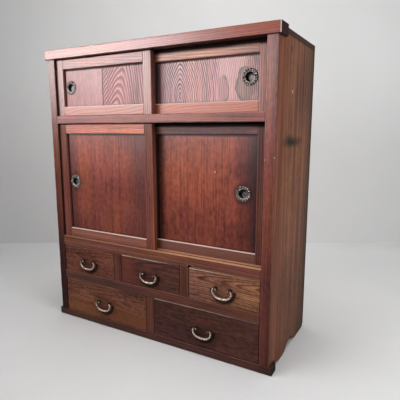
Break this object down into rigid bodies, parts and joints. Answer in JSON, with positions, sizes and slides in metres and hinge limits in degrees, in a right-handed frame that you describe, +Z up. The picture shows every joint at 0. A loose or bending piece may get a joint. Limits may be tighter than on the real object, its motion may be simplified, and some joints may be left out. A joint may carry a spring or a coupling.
{
  "type": "tansu chest",
  "caption": "Floor-standing tansu chest in dark red-brown wood: sliding panel doors with finger pulls above inset drawers with iron bail handles.",
  "frame": {"origin": "on the floor, at the middle of the chest's box seen from above", "axes": "+Z up, +X to the right seen from the front, the drawers and doors face -Y"},
  "size_m": [0.909, 0.3936, 1.031],
  "materials": {
    "frame_wood": "satin",
    "rail_wood": "satin",
    "side_wood": "satin",
    "top_wood": "satin",
    "stile_wood": "satin",
    "door_rail_wood": "satin",
    "upper_left_panel_wood": "satin",
    "upper_right_panel_wood": "satin",
    "lower_left_panel_wood": "satin",
    "lower_right_panel_wood": "satin",
    "drawer_1_wood": "satin",
    "drawer_2_wood": "satin",
    "drawer_3_wood": "satin",
    "drawer_4_wood": "satin",
    "drawer_5_wood": "satin",
    "inner_wood": "matte",
    "back_wood": "matte",
    "handle_iron": "worn",
    "pull_iron": "worn",
    "nail_iron": "matte"
  },
  "bodies": {
    "carcass": {"top_rail": "rail_wood", "mid_rail": "rail_wood", "sill_rail": "rail_wood", "drawer_rail": "rail_wood", "bottom_rail": "rail_wood", "rear_bottom_rail": "inner_wood", "left_post": "frame_wood", "right_post": "frame_wood", "left_side_panel": "side_wood", "right_side_panel": "side_wood", "top_board": "top_wood", "mid_shelf": "inner_wood", "cupboard_floor": "inner_wood", "drawer_shelf": "inner_wood", "bottom_board": "inner_wood", "left_muntin": "frame_wood", "right_muntin": "frame_wood", "lower_muntin": "frame_wood", "drawer_guides": "inner_wood", "back_boards": "back_wood", "back_nails": "nail_iron", "top_nails": "nail_iron"},
    "upper_left_door": {"upper_left_door_stiles": "stile_wood", "upper_left_door_rails": "door_rail_wood", "upper_left_door_panel": "upper_left_panel_wood", "upper_left_door_pull": "pull_iron"},
    "upper_right_door": {"upper_right_door_stiles": "stile_wood", "upper_right_door_rails": "door_rail_wood", "upper_right_door_panel": "upper_right_panel_wood", "upper_right_door_pull": "pull_iron"},
    "lower_left_door": {"lower_left_door_stiles": "stile_wood", "lower_left_door_rails": "door_rail_wood", "lower_left_door_panel": "lower_left_panel_wood", "lower_left_door_pull": "pull_iron"},
    "lower_right_door": {"lower_right_door_stiles": "stile_wood", "lower_right_door_rails": "door_rail_wood", "lower_right_door_panel": "lower_right_panel_wood", "lower_right_door_pull": "pull_iron"},
    "drawer_1": {"drawer_1_front": "drawer_1_wood", "drawer_1_box": "inner_wood", "drawer_1_eye_pins": "handle_iron"},
    "drawer_1_bail": {"drawer_1_bail": "handle_iron"},
    "drawer_2": {"drawer_2_front": "drawer_2_wood", "drawer_2_box": "inner_wood", "drawer_2_eye_pins": "handle_iron"},
    "drawer_2_bail": {"drawer_2_bail": "handle_iron"},
    "drawer_3": {"drawer_3_front": "drawer_3_wood", "drawer_3_box": "inner_wood", "drawer_3_eye_pins": "handle_iron"},
    "drawer_3_bail": {"drawer_3_bail": "handle_iron"},
    "drawer_4": {"drawer_4_front": "drawer_4_wood", "drawer_4_box": "inner_wood", "drawer_4_eye_pins": "handle_iron"},
    "drawer_4_bail": {"drawer_4_bail": "handle_iron"},
    "drawer_5": {"drawer_5_front": "drawer_5_wood", "drawer_5_box": "inner_wood", "drawer_5_eye_pins": "handle_iron"},
    "drawer_5_bail": {"drawer_5_bail": "handle_iron"}
  },
  "joints": [
    {"name": "upper_left_door_slide", "type": "slide", "parent": "carcass", "child": "upper_left_door", "axis": [1, 0, 0], "range_m": [0, 0.3932]},
    {"name": "upper_right_door_slide", "type": "slide", "parent": "carcass", "child": "upper_right_door", "axis": [1, 0, 0], "range_m": [-0.3932, 0]},
    {"name": "lower_left_door_slide", "type": "slide", "parent": "carcass", "child": "lower_left_door", "axis": [1, 0, 0], "range_m": [0, 0.3932]},
    {"name": "lower_right_door_slide", "type": "slide", "parent": "carcass", "child": "lower_right_door", "axis": [1, 0, 0], "range_m": [-0.3932, 0]},
    {"name": "drawer_1_slide", "type": "slide", "parent": "carcass", "child": "drawer_1", "axis": [0, -1, 0], "range_m": [0, 0.28]},
    {"name": "drawer_1_bail_swing", "type": "hinge", "parent": "drawer_1", "child": "drawer_1_bail", "pos_m": [-0.286, -0.19125, 0.2475], "axis": [-1, 0, 0], "range_deg": [0, 165]},
    {"name": "drawer_2_slide", "type": "slide", "parent": "carcass", "child": "drawer_2", "axis": [0, -1, 0], "range_m": [0, 0.28]},
    {"name": "drawer_2_bail_swing", "type": "hinge", "parent": "drawer_2", "child": "drawer_2_bail", "pos_m": [0, -0.19125, 0.2475], "axis": [-1, 0, 0], "range_deg": [0, 165]},
    {"name": "drawer_3_slide", "type": "slide", "parent": "carcass", "child": "drawer_3", "axis": [0, -1, 0], "range_m": [0, 0.28]},
    {"name": "drawer_3_bail_swing", "type": "hinge", "parent": "drawer_3", "child": "drawer_3_bail", "pos_m": [0.286, -0.19125, 0.2475], "axis": [-1, 0, 0], "range_deg": [0, 165]},
    {"name": "drawer_4_slide", "type": "slide", "parent": "carcass", "child": "drawer_4", "axis": [0, -1, 0], "range_m": [0, 0.28]},
    {"name": "drawer_4_bail_swing", "type": "hinge", "parent": "drawer_4", "child": "drawer_4_bail", "pos_m": [-0.2145, -0.19125, 0.095], "axis": [-1, 0, 0], "range_deg": [0, 165]},
    {"name": "drawer_5_slide", "type": "slide", "parent": "carcass", "child": "drawer_5", "axis": [0, -1, 0], "range_m": [0, 0.28]},
    {"name": "drawer_5_bail_swing", "type": "hinge", "parent": "drawer_5", "child": "drawer_5_bail", "pos_m": [0.2145, -0.19125, 0.095], "axis": [-1, 0, 0], "range_deg": [0, 165]}
  ]
}
